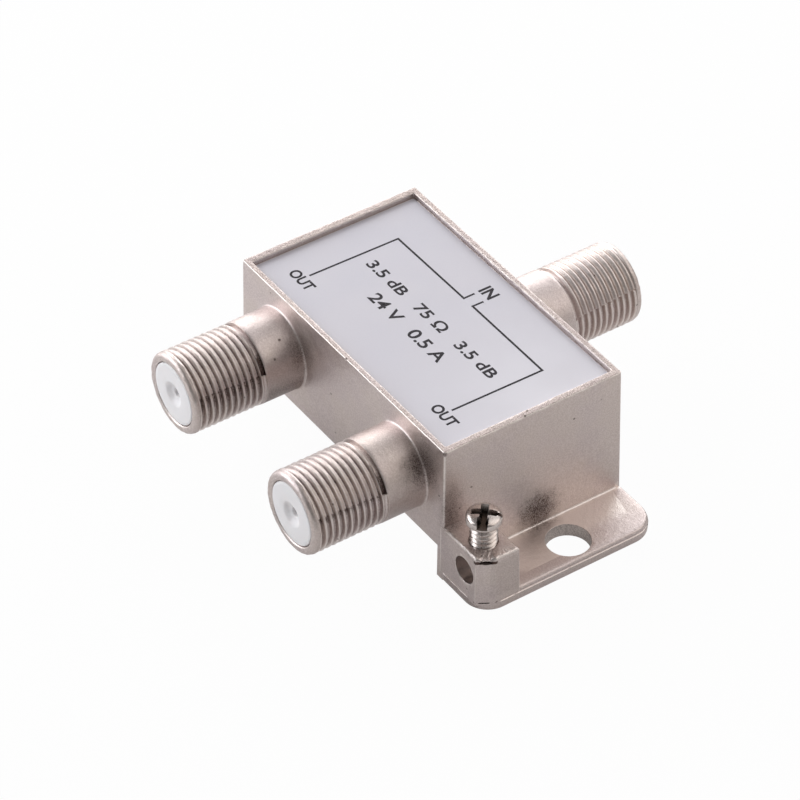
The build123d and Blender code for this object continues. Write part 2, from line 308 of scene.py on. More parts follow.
# The casting's form
def body_block():
    """The drafted body from the feet up, over the rim and down to the label's floor."""
    # Each row of the profile is a share of the rim's width inwards, and a height
    heights = (0, 1.2, 2.6, 4, 5.5, 7, 8.5, 10, 11.5, 13, 14.2, 15.4, 16.3, 16.9, 17.2)
    profile = [(0.0, z) for z in heights]
    for a in quarter(4):
        inset = rim_outer_r * (1 - cos(a)) / end_rim
        profile.append((inset, overall_height - rim_outer_r + rim_outer_r * sin(a)))
    profile += [(0.42, overall_height), (0.62, overall_height - 0.01)]
    for a in quarter(4):
        inset = 1 - rim_inner_r / end_rim * (1 - sin(a))
        profile.append((inset, overall_height - rim_inner_r * (1 - cos(a))))
    profile += [(1.0, 17.25), (1.01, 17.0), (1.05, 16.9), (1.16, label_floor)]
    radii = (near_corner_r, far_corner_r, near_corner_r, near_corner_r)
    rings = []
    for inset, z in profile:
        drafted = (overall_height - z) * slope if inset == 0 else 0
        x = body_length / 2 + drafted - inset * end_rim
        y = body_width / 2 + drafted - inset * side_rim
        ring = []
        for p in rectangle(-x, x, -y, y, radii, z, 90, 54, 4):
            worn = rim_dent * smooth_step(17.0, 17.5, z) if inset < 1.0 else 0
            sink = worn * (0.6 * noise_at(p, 0.7, 3) + 0.5 * noise_at(p, 0.3, 5) - 0.35)
            push = worn * (noise_at(p, 0.9, 7) - 0.4) * (1 if inset < 0.5 else -1)
            scale = 1 + push / (body_width / 2)
            ring.append((p[0] * scale, p[1] * scale, min(z + sink, overall_height)))
        rings.append(ring)
    return loft("casting", rings)


def tab(side):
    """One mounting tab: the band, the rough parting line and the plate with its worn edge."""
    worn_low = 1.4
    worn_reach = 0.5
    inner_x = 17.0
    # Each row of the profile is a distance inwards and a height
    profile = [
        (0.36, 0.0), (0.2, 0.03), (0.09, 0.12), (0.05, 0.28), (0.03, 0.6), (0.0, parting_low), (0.0, 1.08),
        (0.05, 1.13), (0.1, parting_high), (0.105, 1.27), (0.12, worn_low), (0.16, 1.5), (0.23, 1.58),
        (0.32, 1.63), (0.44, tab_thick), (0.9, tab_thick + 0.005), (1.6, tab_thick),
    ]
    rings = []
    for inset, z in profile:
        y = plate_half_width + band - min(inset, 1.3)
        front_r = max(tab_corner_r + band - inset, 0.4)
        radii = (front_r, front_r + 0.2, 0.01, 0.01)
        ring = []
        for px, py, pz in rectangle(inner_x, tab_reach - inset, -y, y, radii, z, 40, 110, 14):
            # The band stands out round the tab only, and is flush with the foot's face
            flush = band * (1 - smooth_step(19.2, 19.7, px)) if z <= parting_high else 0
            py = min(max(py, flush - y), y - flush)
            p = (side * px, py, pz)
            out = 0.0
            rise = 0.0
            if parting_low <= z <= parting_high:
                pit = smooth_step(0.42, 0.6, noise_at(p, 0.5, 11))
                out = 0.02 * noise_at(p, 0.35, 2) - 0.02 - 0.08 * pit
            elif z >= worn_low and inset < worn_reach:
                out = 0.03 * noise_at(p, 0.4, 4) - 0.02
                rise = 0.015 * noise_at(p, 0.4, 9)
            outwards = Vector((px - 20.0, py * 0.9, 0)).normalized()
            ring.append((px + outwards.x * out, py + outwards.y * out, pz + rise))
        if side < 0:
            ring = [(-px, py, pz) for px, py, pz in reversed(ring)]
        rings.append(ring)
    return loft("tab", rings)


def crease(side):
    """The small round between an end wall and its tab."""
    base_x = half_length(tab_thick)
    inside_x = base_x - 0.5
    bottom = parting_height + 0.1
    section = [(inside_x, bottom), (base_x + crease_r, bottom)]
    for a in quarter(8):
        section.append((base_x + crease_r * (1 - sin(a)), tab_thick + crease_r * (1 - cos(a)) - 0.004))
    section.append((inside_x, tab_thick + crease_r))
    half = plate_half_width - 0.7
    steps = 90
    rings = []
    for k in range(steps + 1):
        y = -half + 2 * half * k / steps
        ring = []
        for x, z in section:
            wave = 0.02 * noise_at((x, y, z), 0.8, 6) if x > base_x and z > tab_thick else 0
            ring.append((side * (x + wave), y, z))
        rings.append(ring if side > 0 else ring[::-1])
    return loft("crease", rings)


def straight(a, b, steps):
    """The points between two corners, without the corners."""
    return [(a[0] + (b[0] - a[0]) * i / steps, a[1] + (b[1] - a[1]) * i / steps) for i in range(1, steps)]


def crack_depth(z, share):
    """How deep the two cracks go in at this height. share runs from 0 to 1 across the cut corner."""
    ends = smooth_step(0.1, 0.3, share) * (1 - smooth_step(0.7, 0.9, share))
    half_open = 0.05 + 0.12 * sin(pi * share)
    upper = 0.4 * (1 - smooth_step(half_open, half_open + 0.07, abs(z - upper_crack)))
    lower = 0.2 * (1 - smooth_step(0.03, 0.08, abs(z - lower_crack))) * (1 - smooth_step(0.6, 0.8, share))
    return ends * (upper + lower)


def block_ring(inset, z, corner_steps):
    """Points round the ground block at one height, counter-clockwise from its cut-off corner."""
    bulge = 0.06
    drafted = (parting_height - z) * slope
    x_low = 18.8
    x_high = plate_reach + drafted - inset + block_proud
    y_low = -plate_half_width - drafted + inset - block_proud
    y_high = block_inner_y + drafted - inset
    outwards = Vector((cut_y, -cut_x)) / hypot(cut_x, cut_y)
    ring = []
    for i in range(corner_steps + 1):
        share = i / corner_steps
        point = Vector((x_high - cut_x * (1 - share), y_low + cut_y * share))
        point += outwards * (bulge * sin(pi * share) - crack_depth(z, share))
        ring.append((point.x, point.y))
    corners = [ring[-1], (x_high, y_high), (x_low, y_high), (x_low, y_low), ring[0]]
    for k, steps in enumerate((26, 30, 8, 36)):
        ring += straight(corners[k], corners[k + 1], steps)
        if k < 3:
            ring.append(corners[k + 1])
    return ring


def ground_block():
    """The block that holds the ground wire, with its cut-off, cracked and crumbling corner."""
    corner_steps = 20
    heights = [0.9, 1.1]
    heights += [lower_crack + away for away in (-0.08, -0.04, 0.0, 0.04, 0.08)]
    heights += [1.5, 2.2, 3.0, 3.7, 4.4, 5.1, 5.8, 6.3, 6.5]
    heights += [upper_crack + 0.05 * i for i in range(-5, 6)] + [7.12]
    profile = [(0.0, z) for z in heights]
    for a in quarter(5):
        profile.append((block_edge_r * (1 - cos(a)), block_top - block_edge_r + block_edge_r * sin(a)))
    profile += [(0.4, block_top), (0.7, block_top), (1.1, block_top)]
    rings = []
    for inset, z in profile:
        ring = []
        for k, (px, py) in enumerate(block_ring(inset, z, corner_steps)):
            p = (px, py, z)
            worn = smooth_step(6.95, 7.2, z) * (1 - smooth_step(0.5, 1.0, inset))
            sink = worn * (0.05 * noise_at(p, 0.5, 8) + 0.05 * noise_at(p, 0.2, 1) - 0.04)
            if k <= corner_steps:
                middle = sin(pi * k / corner_steps)
                crumbs = smooth_step(upper_crack + 0.1, upper_crack + 0.25, z) * middle
                sink -= worn * middle * (0.1 + 0.25 * abs(noise_at(p, 0.25, 12)))
                out = crumbs * (0.12 * noise_at(p, 0.3, 5) - 0.02)
                px += out
                py -= out
            ring.append((px, py, z + sink))
        rings.append(ring)
    return loft("block", rings)


def port_matrix(port):
    """Places a shape that is turned about Z so that it points out of one port."""
    x, side = ports[port]
    out = Vector((0, side, 0))
    up = Vector((0, 0, 1))
    across = up.cross(out)
    turn = Matrix((across, up, out)).transposed().to_4x4()
    return Matrix.Translation((x, 0, port_z)) @ turn


def barrel_angles():
    """The angles round a barrel, closer together at the two seams."""
    gap = radians(2.6)
    angles = []
    for turned in full_turn(120):
        a = turned - pi / 2
        if min(abs(a - seam), abs(a - (pi - seam))) > gap:
            angles.append(a)
    for centre in (seam, pi - seam):
        angles += [centre + radians(d) for d in (-2.2, -1.3, -0.6, 0.0, 0.6, 1.3, 2.2)]
    return sorted(angles)


def barrel_point(port, r, angle, s):
    """A point of a barrel, s along it from the part's middle."""
    x, side = ports[port]
    share = (s - collar_end) / (tip_y - collar_end)
    a = angle + seam_tilt * (2 * min(max(share, 0), 1) - 1) * cos(angle)
    return (x - side * r * cos(a), side * s, port_z + r * sin(a))


def upper_share(angle):
    """1 on the upper half of a barrel, 0 on the lower, with the seams between."""
    a = (angle + pi / 2) % (2 * pi) - pi / 2
    rise = smooth_step(seam - seam_half, seam + seam_half, a)
    fall = smooth_step(pi - seam - seam_half, pi - seam + seam_half, a)
    return rise - fall


def fall_above(share):
    """Depth above the seams over one turn: a broad crest that leans back from a sharp line."""
    after = (share - crest_at) % 1
    before = (crest_at - share) % 1
    if after < 0.37:
        return 0.85 * smooth_step(0.1, 0.34, after)
    return 0.3 * smooth_step(0.04, 0.36, before) + 0.55 * smooth_step(0.44, 0.62, before)


def fall_below(share):
    """Depth below the seams over one turn: a thin crest and a wide valley."""
    away = abs((share - crest_at + 0.5) % 1 - 0.5)
    return smooth_step(0.11, 0.3, away)


def thread_radius(share, upper, s, crest):
    """The radius at one share of a turn. upper is 1 above the seams and 0 below them, and crest
    is the place at the thread's full radius."""
    if s <= collar_end + 1e-6:
        return relief_r * upper + (thread_r - 0.02) * (1 - upper)
    if s >= thread_end - 1e-6:
        return thread_r - 0.05
    # The lower half starts with a plain pad
    below = fall_below(share) * smooth_step(collar_end + 0.2, collar_end + 0.65, s)
    depth = thread_depth * (fall_above(share) * upper + below * (1 - upper))
    depth *= 1 - smooth_step(thread_end - 0.5, thread_end, s)
    r = thread_r - depth + 0.03 * noise_at(crest, 0.7, 1) + 0.02 * noise_at(crest, 0.25, 6)
    near_seam = 4 * upper * (1 - upper)
    pit = smooth_step(0.1, 0.4, noise_at(crest, 0.45, 14)) * near_seam
    r -= 0.15 * pit
    groove = upper * (1 - smooth_step(relief_end - 0.03, relief_end + 0.28, s))
    return r * (1 - groove) + min(r, relief_r) * groove


def root_rings(port, angles):
    """From inside the wall, along the flare on the drafted wall, to the plain collar."""
    rings = [[barrel_point(port, collar_r, a, inner_y + 0.35) for a in angles]]
    for grow in (1.0, 0.82, 0.62, 0.44, 0.28, 0.15, 0.06, 0.0):
        r = collar_r + root_flare * (1 - sqrt(max(0, 1 - grow**2)))
        out = root_flare * (1 - sqrt(max(0, 1 - (1 - grow)**2)))
        rings.append([barrel_point(port, r, a, half_width(port_z + r * sin(a)) + out - 0.01) for a in angles])
    return rings


def collar_rings(port, angles):
    """The plain collar, with a broken edge on the upper half."""
    rings = []
    for s in (12.6, 13.2, 13.8, 14.4, 15.0, 15.5, 15.9, 16.15, 16.27, collar_end):
        ring = []
        for a in angles:
            p = barrel_point(port, collar_r, a, s)
            edge = 0.05 * smooth_step(16.2, collar_end, s) * upper_share(a)
            ring.append(barrel_point(port, collar_r - edge + 0.012 * noise_at(p, 2.0, 3), a, s))
        rings.append(ring)
    return rings


def thread_rings(port, angles):
    """Rings that follow the helix. They are cut off at the thread's two ends."""
    rings = []
    turns = int((thread_end - collar_end) / thread_pitch) + 3
    for n in range(-1, turns):
        for share in (0.02, 0.11, 0.19, 0.27, 0.36, 0.46, 0.55, 0.63, 0.7, 0.78, 0.86, 0.94):
            ring = []
            for a in angles:
                lead = (a + pi / 2) / (2 * pi)
                s = collar_end + thread_pitch * (n + share + lead)
                s = min(max(s, collar_end), thread_end)
                crest = barrel_point(port, thread_r, a, s)
                ring.append(barrel_point(port, thread_radius(share, upper_share(a), s, crest), a, s))
            rings.append(ring)
    return rings


def tip_rings(port, angles):
    """The rounded tip, down to the mouth."""
    rings = []
    for b in quarter(7):
        ring = []
        for a in angles:
            r = thread_r - 0.04 - tip_r * (1 - cos(b))
            s = tip_y - tip_r + tip_r * sin(b)
            p = barrel_point(port, r, a, s)
            rough = 0.035 * noise_at(p, 0.6, 2) + 0.025 * noise_at(p, 0.25, 4)
            s = min(s + rough * sin(b) - 0.015, tip_y)
            ring.append(barrel_point(port, r + rough * cos(b) - 0.01, a, s))
        rings.append(ring)
    rings.append([barrel_point(port, mouth_r - 0.6, a, tip_y - 0.03) for a in angles])
    return rings


def barrel(port):
    """One port's barrel: the root's flare, the plain collar, the relief on the upper half only,
    the thread and the rounded tip."""
    angles = barrel_angles()
    rings = root_rings(port, angles) + collar_rings(port, angles)
    rings += thread_rings(port, angles) + tip_rings(port, angles)
    if ports[port][1] > 0:
        rings = [ring[::-1] for ring in rings]
    return loft("barrel", rings)


def bore_cutter(port):
    """The bore through a barrel and its wall, with a rounded edge at the mouth."""
    inner_end = inner_y - side_wall
    shoulder = tip_y - mouth_depth
    beyond = tip_y + 1.0
    profile = [(0.0, inner_end), (bore_r, inner_end), (bore_r, shoulder), (mouth_r, shoulder)]
    for b in quarter(5):
        height = tip_y - mouth_flare - 0.02 + mouth_flare * sin(b)
        profile.append((mouth_r + mouth_flare * (1 - cos(b)), height))
    profile += [(mouth_r + mouth_flare, beyond), (0.0, beyond)]
    return lathe("bore", profile, port_matrix(port))


def cavity_half_length(z):
    """From the middle to the cavity's end wall, at one height."""
    return half_length(cavity_top) - end_wall + (cavity_top - z) * slope


def cavity_half_width(z):
    """From the middle to the cavity's side wall, at one height."""
    return half_width(cavity_top) - side_wall + (cavity_top - z) * slope


def open_below(whole):
    """Cuts the space between the feet, the cavity and the ledge for the cover."""
    edge = half_width(stand_off)
    beyond = 30.0
    section = [(beyond, -5.0), (beyond, stand_off + foot_lip), (edge + 0.01, stand_off + foot_lip)]
    for b in quarter(5)[1:]:
        section.append((edge - foot_lip * (1 - cos(b)) + 0.01, stand_off + foot_lip * (1 - sin(b))))
    outline = section + [(-y, z) for y, z in reversed(section)]
    rings = [[(x, y, z) for y, z in outline] for x in (-foot_inner, foot_inner)]
    combine(whole, loft("gap", rings), "DIFFERENCE")
    z = stand_off - 0.5
    x = cavity_half_length(z)
    y = cavity_half_width(z)
    combine(whole, prism("cavity", x, y, cavity_corner_r, z, cavity_top), "DIFFERENCE")
    ledge = prism("step", x + cover_ledge, y + cover_ledge, cavity_corner_r, z, ledge_z, False)
    combine(whole, ledge, "DIFFERENCE")


def add_posts(whole):
    """The posts in the cavity's corners, each with the stake that goes through the board."""
    stake_x = cavity_half_length(cavity_top) - stake_inset
    stake_y = cavity_half_width(cavity_top) - stake_inset
    half = (stake_inset + post_reach + post_in_wall) / 2
    stake_top = label_floor - 0.5
    profile = [(0.0, board_bottom), (stake_r, board_bottom), (stake_r, stake_top), (0.0, stake_top)]
    for sx in (-1, 1):
        for sy in (-1, 1):
            x = (stake_x - post_reach + half) * sx
            y = (stake_y - post_reach + half) * sy
            rings = []
            for z in (board_top, label_floor - 0.4):
                rings.append(rectangle(x - half, x + half, y - half, y + half, (post_corner_r,) * 4, z))
            combine(whole, loft("post", rings), "UNION")
            place = Matrix.Translation((sx * stake_x, sy * stake_y, 0))
            combine(whole, lathe("stake", profile, place, 24), "UNION")


def flared_hole(radius, low, high, place, flare):
    """A round cutter from low to high with rounded edges where it leaves each surface."""
    beyond = 1.5
    profile = [(0.0, low - beyond), (radius + flare, low - beyond)]
    for b in quarter(5):
        profile.append((radius + flare * (1 - sin(b)), low + flare * (1 - cos(b))))
    for b in quarter(5):
        profile.append((radius + flare * (1 - cos(b)), high - flare * (1 - sin(b))))
    profile += [(radius + flare, high + beyond), (0.0, high + beyond)]
    return lathe("hole", profile, place)


def casting():
    """The whole zinc casting as one skin."""
    whole = body_block()
    for side in (-1, 1):
        combine(whole, tab(side), "UNION")
        combine(whole, crease(side), "UNION")
    combine(whole, ground_block(), "UNION")
    for port in ports:
        combine(whole, barrel(port), "UNION")
    open_below(whole)
    add_posts(whole)
    for port in ports:
        combine(whole, bore_cutter(port), "DIFFERENCE")
    for side in (-1, 1):
        place = Matrix.Translation((side * mount_hole_x, mount_hole_y, 0))
        combine(whole, flared_hole(mount_hole_r, 0, tab_thick + 0.005, place, 0.06), "DIFFERENCE")
    lying = Matrix.Translation((ground_x, 0, wire_hole_z)) @ Matrix.Rotation(radians(-90), 4, "X")
    y_low = -plate_half_width + (wire_hole_z - parting_height) * slope - block_proud
    combine(whole, flared_hole(wire_hole_r, y_low, block_inner_y, lying, 0.05), "DIFFERENCE")
    place = Matrix.Translation((ground_x, ground_y, 0))
    wide_r = screw_hole_r + screw_hole_chamfer
    profile = [
        (0.0, wire_hole_z), (screw_hole_r, wire_hole_z), (screw_hole_r, block_top - screw_hole_chamfer),
        (wide_r, block_top), (wide_r, block_top + 1), (0.0, block_top + 1),
    ]
    combine(whole, lathe("hole", profile, place), "DIFFERENCE")
    return whole


# What the casting's material is told about each of its points
def curvature(mesh):
    """How sharply the skin bends out (above 0) or in (below 0) at each point, per millimetre."""
    points = read(mesh.vertices, "co", 3)
    normals = read(mesh.vertex_normals, "vector", 3, np.float32)
    a, b = read(mesh.edges, "vertices", 2, np.int32).T
    gap = points[a] - points[b]
    length = np.maximum(np.linalg.norm(gap, axis=1), 0.02)
    bend = np.zeros(len(points))
    weight = np.zeros(len(points))
    for one, sign in ((a, 1), (b, -1)):
        value = 2 * np.einsum("ij,ij->i", normals[one], gap) * sign / length**2
        np.add.at(bend, one, value / length)
        np.add.at(weight, one, 1 / length)
    return bend / np.maximum(weight, 1e-9)


def bright_edges(points, wear_and_highlight):
    """Adds bright lines: a painted highlight along the tabs' creases, and brighter top edges on the ground
    block.
    """
    x, y, z = points.T
    base_x = half_length(tab_thick)
    crease_highlight = (np.abs(x) > base_x - 0.03) & (np.abs(x) < base_x + crease_r + 0.05)
    crease_highlight &= (z > tab_thick - 0.02) & (z < tab_thick + crease_r - 0.03)
    # The crease line is a painted highlight
    wear_and_highlight[crease_highlight] = 12.0
    block = (x > 19.6) & (y < block_inner_y + 0.3) & (z > block_top - 0.26) & (z < block_top - 0.02)
    wear_and_highlight[block] += 3.0
    return wear_and_highlight


def barrel_painted_shade(points, values, port):
    """Paints shade on one barrel: darker in its thread's valleys, at its seams and in the groove, on the tip
    and on the collar.
    The first value darkens the surfaces that face up, spread is how wide the painted shade lies at the seams,
    and the last darkens the collar's underside."""
    upward_shade, spread, under_collar = {
        "in": (0.1, 7.0, 0.15), "out_left": (0.2, 20.0, 0.55), "out_right": (0.25, 7.0, 0.15),
    }[port]
    x, side = ports[port]
    s = points[:, 1] * side
    across = np.abs(points[:, 0] - x)
    up = points[:, 2] - port_z
    r = np.hypot(across, up)
    angle = np.degrees(np.arctan2(up, across))
    on_thread = (s > collar_end - 0.02) & (s < tip_y - 0.3) & (r < 5.2) & (r > 4.0)
    low = np.clip((thread_r - 0.1 - r) / 0.25, 0, 1)
    at_seam = np.exp(-((angle - 22) / spread) ** 2)
    under = np.clip((20 - angle) / 8, 0, 1)
    in_groove = (s < relief_end + 0.1) & (r < relief_r + 0.2)
    above = np.clip((angle - 30) / 30, 0, 1) * ~in_groove
    groove = in_groove * np.clip((52 - angle) / 12, 0, 1)
    if side < 0:
        painted_shade = low * (0.3 + 0.45 * at_seam + 0.12 * under + 0.25 * above)
        painted_shade += 0.1 * at_seam + 0.7 * groove + 0.2 * above
    else:
        painted_shade = 0.1 * low + 0.1 * above
    values[on_thread] = painted_shade[on_thread]
    on_tip = (s > thread_end) & (r < thread_r + 0.1) & (r > mouth_r)
    values[on_tip] = upward_shade
    on_collar = (s > half_width(0) + 0.1) & (s <= collar_end - 0.02)
    on_collar &= (r < collar_r + 0.1) & (r > collar_r - 0.2)
    shade = upward_shade * np.clip((angle - 35) / 30, 0, 1) + under_collar * np.clip((10 - angle) / 25, 0, 1)
    values[on_collar] = shade[on_collar]


def casting_painted_shade(points):
    """How dark each point of the casting is painted as shade: in the threads, seams and groove, on the
    barrels' tips and collars, on the rim's top, along the tab's lower front edge, on the ground block's face,
    in the holes and in the cracks.
    """
    values = np.zeros(len(points))
    for port in ports:
        barrel_painted_shade(points, values, port)
    x, y, z = points.T
    # The rim's top is darkened as painted shade
    on_rim = (np.abs(x) < body_length / 2 - 0.05) & (np.abs(y) < body_width / 2 - 0.05)
    values[on_rim & (z > overall_height - 0.06)] = 0.56
    # Painted shade along the tab's lower front edge, on the ground block's face, inside the mounting holes
    # and in the wire hole
    tab_edge = (z < parting_height) & (y < -plate_half_width + 0.5) & (x > 19.5)
    values[tab_edge] = 0.4
    block_face = (x > plate_reach - 0.3) & (y < block_inner_y + 0.1)
    values[block_face & (z > tab_thick) & (z < block_top - 0.7)] = 0.25
    for side in (-1, 1):
        from_axis = np.hypot(x - side * mount_hole_x, y - mount_hole_y)
        values[(from_axis < mount_hole_r + 0.02) & (z < tab_thick) & (z > 0.02)] = 0.45
    from_axis = np.hypot(x - ground_x, z - wire_hole_z)
    in_wire_hole = (from_axis < wire_hole_r + 0.01) & (y < block_inner_y - 0.1)
    values[in_wire_hole & (y > -plate_half_width + 0.15)] = 1.0
    # The two cracks, painted dark as shade: points that lie behind the cut-off corner's face
    behind = (plate_reach - x) * cut_y + (y + plate_half_width) * cut_x - cut_x * cut_y
    near = (x > plate_reach - cut_x - 0.3) & (y < -plate_half_width + cut_y + 0.3)
    deep = near & (behind > 0.02 * hypot(cut_x, cut_y))
    values[deep & (np.abs(z - upper_crack) < 0.19)] = 2.6
    values[deep & (np.abs(z - lower_crack) < 0.06)] = 2.0
    return values


# Materials
class Nodes:
    """The node tree of a material or a world. shader is the node that a new tree starts with."""

    def __init__(self, owner, shader="Principled BSDF"):
        owner.use_nodes = True
        self.owner = owner
        self.tree = owner.node_tree
        self.shader = self.tree.nodes[shader]

    def put(self, value, socket):
        """Gives a socket its value: another node's output, a colour, a vector or a number."""
        if isinstance(value, bpy.types.NodeSocket):
            self.tree.links.new(value, socket)
        elif socket.type == "RGBA":
            socket.default_value = (*value, 1.0)
        else:
            socket.default_value = value

    def set(self, **values):
        """Sets the shader's own sockets, with _ for each blank in their names."""
        for name, value in values.items():
            self.put(value, self.shader.inputs[name.replace("_", " ")])

    def add(self, kind, sockets, result, **settings):
        """A new node. result is the output that is handed on."""
        node = self.tree.nodes.new(f"ShaderNode{kind}")
        for name, value in settings.items():
            setattr(node, name, value)
        for socket, value in sockets.items():
            self.put(value, node.inputs[socket])
        return node.outputs[result]

    def noise(self, scale, detail=3.0, roughness=0.5):
        sockets = {"Scale": scale, "Detail": detail, "Roughness": roughness, "Vector": self.millimetres}
        return self.add("TexNoise", sockets, "Fac")

    def ramp(self, value, low, high, low_to=0.0, high_to=1.0):
        sockets = {"Value": value, "From Min": low, "From Max": high, "To Min": low_to, "To Max": high_to}
        return self.add("MapRange", sockets, "Result", interpolation_type="SMOOTHSTEP")

    def math(self, operation, a, b):
        return self.add("Math", {0: a, 1: b}, "Value", operation=operation)

    def mix(self, share, a, b):
        return self.add("Mix", {0: share, 6: a, 7: b}, 2, data_type="RGBA")

    def attribute(self, name):
        return self.add("Attribute", {}, "Fac", attribute_name=name)

    def spot(self, centre, radii, ragged):
        """1 in the middle of an ellipsoid, fading out to 0 round its ragged edge."""
        away = self.add("VectorMath", {0: self.millimetres, 1: centre}, "Vector", operation="SUBTRACT")
        away = self.add("VectorMath", {0: away, 1: radii}, "Vector", operation="DIVIDE")
        length = self.add("VectorMath", {0: away}, "Value", operation="LENGTH")
        return self.ramp(self.math("ADD", length, ragged), 0.1, 1.6, 1.0, 0.0)

    def bump(self, height, distance, **normal):
        """Pushes the surface in and out by a height. Normal is that of the bumps below."""
        sockets = {"Strength": 1.0, "Distance": distance * MM, "Height": height}
        return self.add("Bump", {**sockets, **normal}, "Normal")


def piece_nodes(name):
    """The nodes of a new material for pieces, which see their places in millimetres."""
    n = Nodes(bpy.data.materials.new(name))
    sockets = {"Vector": n.add("TexCoord", {}, "Object"), "Scale": (1 / MM, 1 / MM, 1 / MM)}
    n.millimetres = n.add("Mapping", sockets, "Vector")
    return n


# Dark spots painted on the casting: painted reflections of the tab's hole, of the ground block and screw and
# of the barrels, a darker patch on the block's top by the screw, and a spot at the near corner's top. Place,
# radii and strength
painted_dark_spots = (
    ((19.4, 0.7, 3.6), (1.6, 3.0, 2.9), 0.95),
    ((19.4, -10.6, 9.2), (1.2, 1.7, 4.6), 0.6),
    ((16.2, -11.8, 14.0), (2.6, 2.6, 3.4), 0.8),
    ((-7.0, -11.8, 12.8), (2.4, 2.2, 3.0), 0.55),
    ((ground_x + 0.9, ground_y - 0.9, block_top), (2.0, 2.0, 0.8), 0.55),
    ((19.15, -11.33, 17.35), (0.3, 0.3, 0.3), 1.0),
)


def nickel_casting():
    """Satin nickel over a slightly rough casting."""
    n = piece_nodes("nickel_casting")
    wear_and_highlight = n.attribute("wear_and_highlight")
    patches = n.noise(0.18, 2.0)
    mottling = n.noise(0.9, 4.0, 0.6)
    speckle = n.noise(5.5, 2.0, 0.8)
    colour = n.mix(n.ramp(patches, 0.35, 0.65), (0.585, 0.50, 0.49), (0.61, 0.525, 0.49))
    colour = n.mix(n.ramp(mottling, 0.3, 0.75, 0.0, 0.3), colour, (0.69, 0.605, 0.585))
    colour = n.mix(n.ramp(speckle, 0.38, 0.64, 0.0, 0.5), colour, (0.82, 0.74, 0.715))
    # Sharply bent-out edges are lighter, partly rubbed plating and partly painted highlight; the tabs'
    # creases get a painted highlight
    colour = n.mix(n.ramp(wear_and_highlight, 1.5, 6.0, 0.0, 0.7), colour, (0.88, 0.81, 0.77))
    # Small pits, made only as bumps, are darkened as painted shade
    cells = n.add("TexVoronoi", {"Scale": 0.42, "Vector": n.millimetres}, "Distance")
    pits = n.ramp(cells, 0.035, 0.075, 1.0, 0.0)
    colour = n.mix(n.math("MULTIPLY", pits, 0.7), colour, (0.12, 0.09, 0.07))
    ragged = n.ramp(n.noise(1.1, 3.0, 0.6), 0.25, 0.75, -0.1, 0.25)
    grains = n.ramp(n.noise(7.0, 2.0, 0.8), 0.38, 0.62, 0.5, 1.2)
    # Painted shade from each point's attribute and the painted spots, broken up by grain, darkens the colour
    # towards near black
    painted_shade = n.attribute("painted_shade")
    for centre, radii, strength in painted_dark_spots:
        painted_shade = n.math("MAXIMUM", painted_shade, n.math("MULTIPLY", n.spot(centre, radii, ragged), strength))
    painted_shade = n.math("MULTIPLY", painted_shade, grains)
    colour = n.mix(n.ramp(painted_shade, 0.0, 1.1), colour, (0.13, 0.09, 0.08))
    roughness = n.ramp(mottling, 0.2, 0.8, 0.38, 0.48)
    roughness = n.math("SUBTRACT", roughness, n.ramp(wear_and_highlight, 1.5, 6.0, 0.0, 0.08))
    roughness = n.math("ADD", roughness, n.ramp(painted_shade, 0.0, 1.0, 0.0, 0.12))
    grain = n.bump(n.noise(6.0, 3.0, 0.6), 0.02)
    peel = n.bump(n.noise(1.6, 2.0, 0.5), 0.035, Normal=grain)
    pitted = n.bump(n.math("MULTIPLY", pits, -1.0), 0.05, Normal=peel)
    n.set(Base_Color=colour, Metallic=1.0, Roughness=roughness, Normal=pitted)
    return n.owner


def printed_label():
    """An even lilac-grey film, a little paler towards the right end."""
    n = piece_nodes("printed_label")
    clouds = n.noise(0.12, 2.0)
    fibres = n.noise(6.0, 3.0, 0.6)
    colour = n.mix(n.ramp(clouds, 0.3, 0.7), (0.68, 0.66, 0.735), (0.71, 0.685, 0.75))
    colour = n.mix(n.ramp(fibres, 0.3, 0.7, 0.0, 0.3), colour, (0.74, 0.725, 0.79))
    paler = n.math("MULTIPLY", n.spot((18.0, 2.0, label_floor), (20.0, 20.0, 20.0), clouds), 0.9)
    colour = n.mix(paler, colour, (0.87, 0.85, 0.91))
    n.set(Base_Color=colour, Roughness=n.ramp(fibres, 0.2, 0.8, 0.42, 0.5), Normal=n.bump(fibres, 0.004))
    return n.owner


def label_ink():
    """Matt ink, nearly black."""
    n = piece_nodes("label_ink")
    colour = n.mix(n.noise(1.5, 3.0), (0.018, 0.014, 0.020), (0.035, 0.029, 0.037))
    n.set(Base_Color=colour, Roughness=0.6, Specular_IOR_Level=0.25)
    return n.owner


def white_plastic():
    """Natural white moulded plastic, slightly see-through to light."""
    n = piece_nodes("white_plastic")
    colour = n.mix(n.noise(0.5, 3.0), (0.90, 0.87, 0.88), (0.94, 0.91, 0.92))
    n.set(Base_Color=colour, Roughness=n.ramp(n.noise(2.0, 3.0), 0.3, 0.7, 0.32, 0.42))
    n.set(Subsurface_Weight=0.15, Subsurface_Scale=0.8 * MM, Subsurface_Radius=(1.0, 0.9, 0.85))
    n.set(Normal=n.bump(n.noise(4.0, 3.0), 0.006))
    return n.owner


def plain(name, dark, light, roughness, metallic=0.0, scale=2.0, bump=0.01, shade_colour=None):
    """A material with fine variation between two colours. The last argument is its colour where the painted
    shade is 1.
    """
    n = piece_nodes(name)
    field = n.noise(scale, 4.0, 0.6)
    colour = n.mix(n.ramp(field, 0.3, 0.7), dark, light)
    if shade_colour is not None:
        colour = n.mix(n.attribute("painted_shade"), colour, shade_colour)
    n.set(Base_Color=colour, Metallic=metallic)
    n.set(Roughness=n.ramp(field, 0.2, 0.8, roughness - 0.05, roughness + 0.07))
    n.set(Normal=n.bump(n.noise(scale * 2.5, 3.0), bump))
    return n.owner


nickel = nickel_casting()
label_film = printed_label()
ink = label_ink()
plastic = white_plastic()
